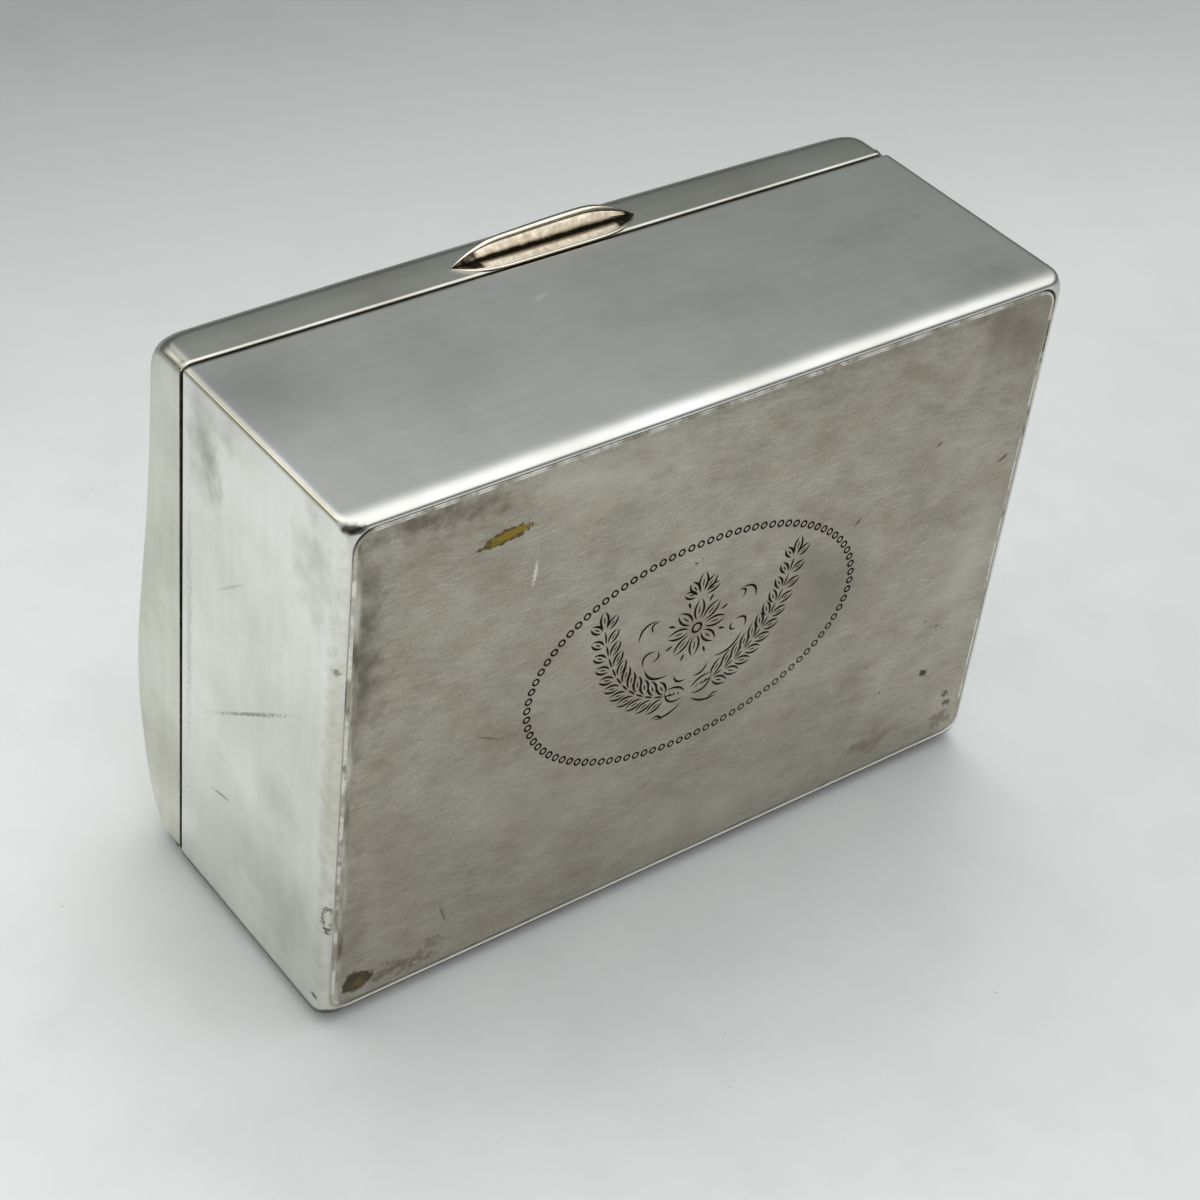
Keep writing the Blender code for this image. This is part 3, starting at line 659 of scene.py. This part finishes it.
cedar_wide = cedar_finish("raw_cedar_along_width", (14, 1, 1))
cedar_deep = cedar_finish("raw_cedar_along_depth", (1, 14, 1))
for node, finish in (("cedar_floor", cedar_wide), ("cedar_front", cedar_wide), ("cedar_back", cedar_wide),
                     ("cedar_left", cedar_deep), ("cedar_right", cedar_deep), ("cedar_divider", cedar_deep)):
    finish_piece(node + "_board", eased_copy(node, 0.25, 3), [finish], "box_base", "cedar", node)


# Hinge: seven drawn brass tubes soldered by turns to the body and the lid, on strips inside
# the back walls, with a steel wire pin through them. Plated with the rest, and less rubbed.
knuckle_plate = silver_plate("plated_brass_hinge", "#CFC7B4", "#9C8F72", 0.28, 0.42, (9, 1, 1))[0]
wire, tree, shader, place = new_finish("drawn_steel_wire", "#9A9A98", 1.0, 0.35)
tree.links.new(spread(tree, grain(tree, place, 0.2, 3, (12, 1, 1)), 0.3, 0.7, 0.28, 0.45), shader.inputs["Roughness"])


def tube_ring(x, radius):
    """A circle round the hinge axis, at a place along it."""
    turns = [math.tau * i / 40 for i in range(40)]
    return [Vector((x, HINGE_Y + radius * math.cos(t), HINGE_Z + radius * math.sin(t))) for t in turns]


KNUCKLES = 7
KNUCKLE_GAP = 0.3
HINGE_HALF = 50.5
# Inset and radius of the rings at a tube's end, from its bore out, and place and radius at the pin's end
TUBE_END = ((0.1, 0.8), (0, 0.9), (0, 1.1), (0.05, 1.2), (0.15, 1.25))
PIN_END = ((50.9, 0.3), (50.85, 0.42), (50.7, 0.5))
KNUCKLE_PITCH = (2 * HINGE_HALF + KNUCKLE_GAP) / KNUCKLES
for i in range(KNUCKLES):
    low = -HINGE_HALF + i * KNUCKLE_PITCH
    high = low + KNUCKLE_PITCH - KNUCKLE_GAP
    tube = skin_over([tube_ring(low + inset, radius) for inset, radius in TUBE_END]
                     + [tube_ring(high - inset, radius) for inset, radius in reversed(TUBE_END)], closed=True)
    finish_piece(f"knuckle_tube_{i + 1}", tube, [knuckle_plate], "lid" if i % 2 else "box_base", "plated_brass",
                 f"hinge_knuckle_{i + 1}")
pin = skin_over([tube_ring(-x, radius) for x, radius in PIN_END]
                + [tube_ring(x, radius) for x, radius in reversed(PIN_END)])
bmesh.ops.holes_fill(pin, edges=[e for e in pin.edges if e.is_boundary], sides=0)
bmesh.ops.recalc_face_normals(pin, faces=pin.faces)
finish_piece("pin_wire", pin, [wire], "box_base", "steel_wire", "hinge_pin")
finish_piece("bearer_strip_body", eased_copy("hinge_bearer_body", 0.12), [knuckle_plate], "box_base",
             "plated_brass", "hinge_bearer_body", sharp=30)
finish_piece("bearer_strip_lid", eased_copy("hinge_bearer_lid", 0.12), [knuckle_plate], "lid",
             "plated_brass", "hinge_bearer_lid", sharp=30)


# Lid: a second pressing of the same sheet, low at the front, rising to a soft crest behind the
# middle and rolled down to the hinge. Plated and buffed, but duller than the body on its front wall.
LID_EDGE = 0.15  # its lower edge above the hinge axis
LID_AJAR = math.radians(0.25)
LID_SECTION = ((0, 0), (0.2, 0.15), (0.35, 0.38), (0.5, 0.74), (0.62, 0.99), (0.74, 0.98), (0.87, 0.56), (1, 0.25))
LID_CORNER = 2.0
LID_FRONT = 10.47  # height of its front above its lower edge, before the rounding
LID_RISE = 4.65  # how much higher its crest is
LID_CROWN = 0.8  # how much lower it is at the ends than in the middle
# How far in from each side the top is rounded over
END_ROUND = 5.2
FRONT_ROUND = 6.0
BACK_ROUND = 13.9


def smooth_through(points, place):
    """Height at a place on a smooth curve through points."""
    def slope(i):
        before, after = points[max(i - 1, 0)], points[min(i + 1, len(points) - 1)]
        return (after[1] - before[1]) / (after[0] - before[0])

    i = min(sum(1 for p in points[1:] if p[0] <= place), len(points) - 2)
    (start, low), (end, high) = points[i], points[i + 1]
    span = end - start
    t = (place - start) / span
    return ((2 * t ** 3 - 3 * t ** 2 + 1) * low + (t ** 3 - 2 * t ** 2 + t) * span * slope(i)
            + (3 * t ** 2 - 2 * t ** 3) * high + (t ** 3 - t ** 2) * span * slope(i + 1))


def lid_height(x, y):
    """Height of the lid's outside above its lower edge."""
    height = LID_FRONT + LID_RISE * smooth_through(LID_SECTION, (y + HALF_DEPTH) / (2 * HALF_DEPTH))
    height += LID_CROWN * (1 - (x / HALF_WIDTH) ** 2)
    height -= round_drop(HALF_WIDTH - abs(x), END_ROUND, 3.2) + round_drop(y + HALF_DEPTH, FRONT_ROUND, 4.6)
    return height - round_drop(HALF_DEPTH - y, BACK_ROUND, 7.4)


def lid_roll(y):
    """How far its lower edge is rounded up: well rolled in front, hardly at all elsewhere."""
    return 0.14 + 0.24 * min(max(-y - 43.6, 0), 1)


def stations(half, low_round, high_round, steps, middle):
    """Places along a side: close together over the rounded edge at each end, even between them."""
    turns = [math.pi / 2 * i / steps for i in range(steps + 1)]
    low = [-half + low_round * (1 - math.cos(a)) for a in turns]
    high = [half - high_round * (1 - math.cos(a)) for a in reversed(turns)]
    return low + [low[-1] + (high[0] - low[-1]) * i / middle for i in range(1, middle)] + high


def hang(shape):
    """Brings a shape drawn about the hinge axis onto the hinge, turned a hair open."""
    bmesh.ops.rotate(shape, matrix=Matrix.Rotation(-LID_AJAR, 3, "X"), verts=shape.verts)
    bmesh.ops.translate(shape, vec=(0, HINGE_Y, HINGE_Z), verts=shape.verts)


x_places = stations(HALF_WIDTH, END_ROUND, END_ROUND, 16, 36)
y_places = stations(HALF_DEPTH, FRONT_ROUND, BACK_ROUND, 16, 26)
lid_shape = bmesh.new()
bmesh.ops.create_grid(lid_shape, x_segments=len(x_places) - 1, y_segments=len(y_places) - 1, size=1)
for vert in lid_shape.verts:
    x = x_places[round((vert.co.x + 1) / 2 * (len(x_places) - 1))]
    y = y_places[round((vert.co.y + 1) / 2 * (len(y_places) - 1))]
    p = max(abs(x) - (HALF_WIDTH - LID_CORNER), 0) / LID_CORNER
    q = max(abs(y) - (HALF_DEPTH - LID_CORNER), 0) / LID_CORNER
    vert.co = (x - math.copysign(LID_CORNER * p * (1 - math.sqrt(1 - q ** 2 / 2)), x),
               y - math.copysign(LID_CORNER * q * (1 - math.sqrt(1 - p ** 2 / 2)), y), lid_height(x, y))
skirt = [e for e in lid_shape.edges if e.is_boundary]
for row in ("middle", 1.2, 0.06, 0):
    points, skirt = extend(lid_shape, skirt)
    for vert in points:
        vert.co.z = vert.co.z * 0.45 if row == "middle" else row + lid_roll(vert.co.y)
bmesh.ops.recalc_face_normals(lid_shape, faces=lid_shape.faces)
if sum(face.normal.z for face in lid_shape.faces) < 0:
    bmesh.ops.reverse_faces(lid_shape, faces=lid_shape.faces)
bmesh.ops.translate(lid_shape, vec=(0, -HINGE_Y, LID_EDGE), verts=lid_shape.verts)
hang(lid_shape)
lid_plate = silver_plate("buffed_silver_plate_lid", "#DDDDD2", "#BDBBAE", 0.28, 0.315, (7, 7, 1))[0]
lid_cover = finish_piece("lid_cover", lid_shape, [lid_plate, bare_edge], "lid", "polished_plate", "lid_shell")


def give_thickness(piece, thickness, roll):
    """Thickens a sheet inwards and rounds its cut edge, which keeps the second material, as far as roll gives."""
    sheet = piece.modifiers.new("sheet", "SOLIDIFY")
    sheet.thickness = thickness * MM
    sheet.offset = -1
    sheet.material_offset_rim = 1
    settle(piece)
    shape = bmesh.new()
    shape.from_mesh(piece.data)
    across = shape.verts.layers.float.new("across")
    crossing = [e for e in shape.edges if len(e.link_faces) == 2 and all(f.material_index == 1 for f in e.link_faces)]
    for e in crossing:
        e.verts[0][across], e.verts[1][across] = 0, 1
    bmesh.ops.subdivide_edges(shape, edges=crossing, cuts=8)
    rounded = []
    for vert in shape.verts:
        if 0.01 < vert[across] < 0.99:
            way = sum((f.normal for f in vert.link_faces if f.material_index == 1), Vector()).normalized()
            rounded.append((vert, way * roll(vert.co.y / MM) * math.sqrt(1 - (2 * vert[across] - 1) ** 2) * MM))
    # Along the front the cut edge is rubbed as bright as the wall
    for face in shape.faces:
        if face.material_index == 1 and face.calc_center_median().y < -44.2 * MM:
            face.material_index = 0
    for vert, out in rounded:
        vert.co += Vector((0, 0, out.z))
    shape.verts.layers.float.remove(across)
    shape.to_mesh(piece.data)
    shape.free()
    smooth(piece.data, 35)


give_thickness(lid_cover, SHEET, lid_roll)
for vert in lid_cover.data.vertices:
    vert.co.x = min(max(vert.co.x, -HALF_WIDTH * MM), HALF_WIDTH * MM)
cut_groove(lid_cover)


# Thumb piece: an almond-shaped lift pressed from sheet, its beaded upper lip standing out from the
# lid's front wall and its lower leaf soldered to it. Plated, and polished by thumbs on the bead only.
THUMB_HALF = 16.6
THUMB_SHIFT = -1.1
THUMB_LEVEL = 3.1  # its tips above the lid's lower edge
# Its section from the lower lip up: distance out from the wall, height over the tips, and how dirty it is there
THUMB_SECTION = (
    (0, -3.45, 0), (0.2, -3.45, 0), (0.34, -3.32, 0), (0.37, -3.05, 0.05), (0.45, -2.5, 0.2),
    (0.58, -1.9, 0.22), (0.6, -1.45, 0.35), (0.5, -1.05, 0.6), (0.38, -0.75, 1), (0.45, -0.48, 1),
    (0.75, -0.28, 0.8), (1.1, -0.02, 0.35), (1.6, 0.42, 0.22), (2.1, 0.87, 0.18), (2.28, 1.1, 0.9),
    (2.4, 0.98, 0.9), (2.44, 0.7, 0.1), (2.74, 0.48, 0), (3.08, 0.72, 0), (3.14, 1.16, 0), (3.02, 1.58, 0),
    (2.7, 1.76, 0), (2.0, 1.84, 0), (1.0, 1.92, 0), (0, 1.95, 0))
# How full its lip is along its length
THUMB_LIP = (
    (-1, 0), (-0.86, 0.37), (-0.72, 0.63), (-0.56, 0.82), (-0.25, 0.91), (0.3, 1), (0.55, 0.96), (0.74, 0.7),
    (0.87, 0.4), (1, 0))
thumb_shape = bmesh.new()
bmesh.ops.create_grid(thumb_shape, x_segments=80, y_segments=88, size=1)
dirt = thumb_shape.verts.layers.float.new("dirt")
for vert in thumb_shape.verts:
    along, step = vert.co.x, (vert.co.y + 1) / 2 * (len(THUMB_SECTION) - 1)
    along = math.sin(along * math.pi / 2) * 0.35 + along * 0.65
    out, rise, soil = (smooth_through([(i, point[k]) for i, point in enumerate(THUMB_SECTION)], step)
                       for k in range(3))
    # The lip narrows evenly to a point at each end, and the lower leaf stays full for longer
    leaf = 1 - abs(along) ** 6
    lip = smooth_through(THUMB_LIP, along)
    fullness = max(leaf + (lip - leaf) * min(max((rise + 1) / 1.2, 0), 1), 0.02)
    out = 0.12 + (out - 0.12) * fullness if out > 0 else 0
    reach = 0.86 if along > 0 and rise > 0 else 0.7
    vert[dirt] = max(soil, min((abs(along) - reach) / 0.05, 0.85) if soil > 0.1 else 0)
    vert.co = (along * THUMB_HALF + THUMB_SHIFT, -HALF_DEPTH - HINGE_Y - out,
               LID_EDGE + THUMB_LEVEL + rise * fullness)
bmesh.ops.holes_fill(thumb_shape, edges=[e for e in thumb_shape.edges if e.is_boundary], sides=0)
bmesh.ops.recalc_face_normals(thumb_shape, faces=thumb_shape.faces)
hang(thumb_shape)
thumb_plate, tree, shader, place, shade = silver_plate(
    "thumb_polished_plate", "#F4EDDE", "#E6DCC6", 0.15, 0.2, (7, 1, 1))
# Old polish yellows the leaf and the underside of the lip, and lies black in the fold and in the tips
grime = work(tree, "ADD", add_node(tree, "ShaderNodeAttribute", attribute_name="dirt").outputs["Fac"],
             spread(tree, grain(tree, place, 1.2, 4), 0.3, 0.7, -0.15, 0.12))
shade = blend_colour(tree, spread(tree, grime, 0.0, 0.3), shade, "#BCAE94")
tree.links.new(blend_colour(tree, spread(tree, grime, 0.35, 0.85), shade, "#1A140C"), shader.inputs["Base Color"])
tree.links.new(spread(tree, grime, 0.0, 0.5, 0.16, 0.36), shader.inputs["Roughness"])
finish_piece("thumb_lift", thumb_shape, [thumb_plate], "lid", "plated_brass", "thumb_piece", sharp=60)


# Stage: a pale laminate table top. The box stands on its back in the photograph, so the table is
# the upright plane behind the hinge. It is seen from its front only.
TABLE_Y = 46.9
TABLE_DRAWN_BACK = 31.5
LID_OPEN = math.radians(105)
table_shape = bmesh.new()
bmesh.ops.create_grid(table_shape, x_segments=1, y_segments=1, size=2000)
bmesh.ops.rotate(table_shape, matrix=Matrix.Rotation(math.pi / 2, 3, "X"), verts=table_shape.verts)
bmesh.ops.translate(table_shape, vec=(0, TABLE_Y, 0), verts=table_shape.verts)
bmesh.ops.scale(table_shape, vec=(MM, MM, MM), verts=table_shape.verts)
table_top = new_object("table_top", table_shape)
# An open lid reaches past the box's back, so the table top draws back as the lid opens
drawn_back = table_top.constraints.new("TRANSFORM")
drawn_back.target = lid_cover
drawn_back.map_from = "ROTATION"
drawn_back.from_min_x_rot = -LID_OPEN
drawn_back.map_to = "LOCATION"
drawn_back.map_to_y_from = "X"
drawn_back.to_min_y = TABLE_DRAWN_BACK * MM
laminate, tree, shader, place = new_finish("pale_laminate", "#E6E9E7", 0.0, 0.6)
# It lies deeper in shade away from the window, and it is faintly speckled and scuffed
x, y, z = axes(tree, place)
lit = work(tree, "MULTIPLY", spread(tree, x, -200 * MM, 300 * MM, 1.0, 0.6),
           spread(tree, z, 100 * MM, 300 * MM, 1.0, 0.42))
shade = blend_colour(tree, lit, "#000000", "#E5E9E7")
shade = blend_colour(tree, spread(tree, grain(tree, place, 14, 6), 0.4, 0.7, 0.0, 0.12), shade, "#A9AEAD")
shade = blend_colour(tree, spread(tree, grain(tree, place, 1.2, 3), 0.7, 0.76, 0.0, 0.35), shade, "#8F9290")
tree.links.new(shade, shader.inputs["Base Color"])
shader.inputs["Specular IOR Level"].default_value = 0.2
path = add_node(tree, "ShaderNodeLightPath")
behind = add_node(tree, "ShaderNodeNewGeometry").outputs["Backfacing"]
seen = path.outputs["Is Camera Ray"]
# The box's back, which stands right against the table, doesn't mirror it
close = work(tree, "LESS_THAN", path.outputs["Ray Length"], 4 * MM)
close = work(tree, "MULTIPLY", close, work(tree, "SUBTRACT", 1.0, seen))
close = work(tree, "MULTIPLY", close, work(tree, "LESS_THAN", path.outputs["Ray Depth"], 1.5))
# Nor is the table seen in the lid's back and top, which the photograph doesn't show
above = spread(tree, z, 44 * MM, 50 * MM)
for factor in (spread(tree, x, -75 * MM, -63 * MM),
               work(tree, "LESS_THAN", path.outputs["Ray Length"], 80 * MM),
               work(tree, "SUBTRACT", 1.0, seen), path.outputs["Is Glossy Ray"]):
    above = work(tree, "MULTIPLY", above, factor)
hidden = work(tree, "MAXIMUM", behind, work(tree, "MAXIMUM", close, above))
# Painted shade: only the rim of the box's back darkens as it nears the table
rim = work(tree, "MAXIMUM", spread(tree, z, 4 * MM, 2 * MM),
           spread(tree, work(tree, "ABSOLUTE", x, 0), 61.6 * MM, 62.6 * MM))
rim = work(tree, "MULTIPLY", work(tree, "MULTIPLY", close, rim), work(tree, "SUBTRACT", 1.0, behind))
clear = add_node(tree, "ShaderNodeBsdfTransparent",
                 links={"Color": blend_colour(tree, rim, "#FFFFFF", "#6E6E6C")})
mixed = add_node(tree, "ShaderNodeMixShader", links={0: hidden, 1: shader.outputs[0], 2: clear.outputs[0]})
tree.links.new(mixed.outputs[0], tree.nodes["Material Output"].inputs["Surface"])
table_top.data.materials.append(laminate)

# The room that lights the box and that the plate mirrors
world = bpy.data.worlds.new("studio")
bpy.context.scene.world = world
world.use_nodes = True
tree = world.node_tree
way = add_node(tree, "ShaderNodeTexCoord").outputs["Generated"]
x, y, z = axes(tree, way)
height = work(tree, "SUBTRACT", work(tree, "MULTIPLY", z, -0.15), y)
sky = add_node(tree, "ShaderNodeValToRGB", links={0: height})
# Room walls low down, then a bright ceiling, brightest on the side that the base faces
stops = ((0.0, 0.05), (0.3, 0.06), (0.38, 0.095), (0.44, 0.11), (0.5, 0.145), (0.57, 0.47), (0.66, 0.85),
         (0.86, 0.95), (1.0, 0.9))
while len(sky.color_ramp.elements) < len(stops):
    sky.color_ramp.elements.new(0.5)
for element, (position, value) in zip(sky.color_ramp.elements, stops):
    element.position = position
    tint = (0.83, 0.985, 0.985) if position < 0.54 else (1, 1, 1.02)
    element.color = [value * share for share in tint] + [1]
ground = spread(tree, y, -0.01, 0.01)
far_side = blend_colour(tree, spread(tree, z, -0.5, 0.5), "#7E7E7C", "#BEC0BF")
left_wall = work(tree, "MULTIPLY", spread(tree, x, -0.3, -0.7), spread(tree, z, 0.5, 0.15))
near_side = blend_colour(tree, left_wall, sky.outputs[0], "#A8AAA9")
room = blend_colour(tree, ground, near_side, far_side)
# A dark patch that the base faces, and a small bright one above, in front and to the left
for aim, edge, full, share, tint in (((-0.15, 0.05, -0.985), 0.7, 0.95, 0.8, "#1C1B19"),
                                     ((-0.57, -0.55, 0.605), 0.95, 0.98, 1.0, "#FFFAEC")):
    toward = add_node(tree, "ShaderNodeVectorMath", {1: aim}, {0: way}, operation="DOT_PRODUCT").outputs["Value"]
    room = blend_colour(tree, spread(tree, toward, edge, full, 0.0, share), room, tint)
rays = add_node(tree, "ShaderNodeLightPath")
shown = blend_colour(tree, rays.outputs["Is Camera Ray"], room, "#B4B7B5")
light = add_node(tree, "ShaderNodeBackground", {"Strength": 1.5}, {"Color": shown})
tree.links.new(light.outputs[0], tree.nodes["World Output"].inputs["Surface"])

# A window's soft light, which throws the box's shade on the table
lamp_data = bpy.data.lights.new("window", "AREA")
lamp_data.shape = "DISK"
lamp_data.size = 0.7
lamp_data.energy = 2.9
lamp = bpy.data.objects.new("window", lamp_data)
lamp.location = (0.27, -0.75, 0.42)
lamp.rotation_euler = (Vector((0, 0, 0.02)) - lamp.location).to_track_quat("-Z", "Y").to_euler()
lamp.visible_camera = False
lamp.visible_glossy = False
bpy.context.scene.collection.objects.link(lamp)

# The camera as it was fitted to the photograph's edges and corners
camera_data = bpy.data.cameras.new("camera")
camera_data.sensor_width = 36
camera_data.lens = 81.10
camera_data.clip_start = 0.01
camera_data.clip_end = 20
camera = bpy.data.objects.new("camera", camera_data)
across = Vector((0.79881513, -0.09810552, -0.59352312))
down = Vector((-0.31109054, 0.77708474, -0.54713983))
ahead = Vector((0.5148952, 0.621703, 0.59022734))
shift = Vector((14.52397716, 6.60583326, 398.11622906)) * MM
turned = Matrix((across, -down, -ahead)).transposed()
camera.matrix_world = Matrix.Translation(-(across * shift.x + down * shift.y + ahead * shift.z)) @ turned.to_4x4()
bpy.context.scene.collection.objects.link(camera)
bpy.context.scene.camera = camera
bpy.context.scene.view_settings.view_transform = "Standard"
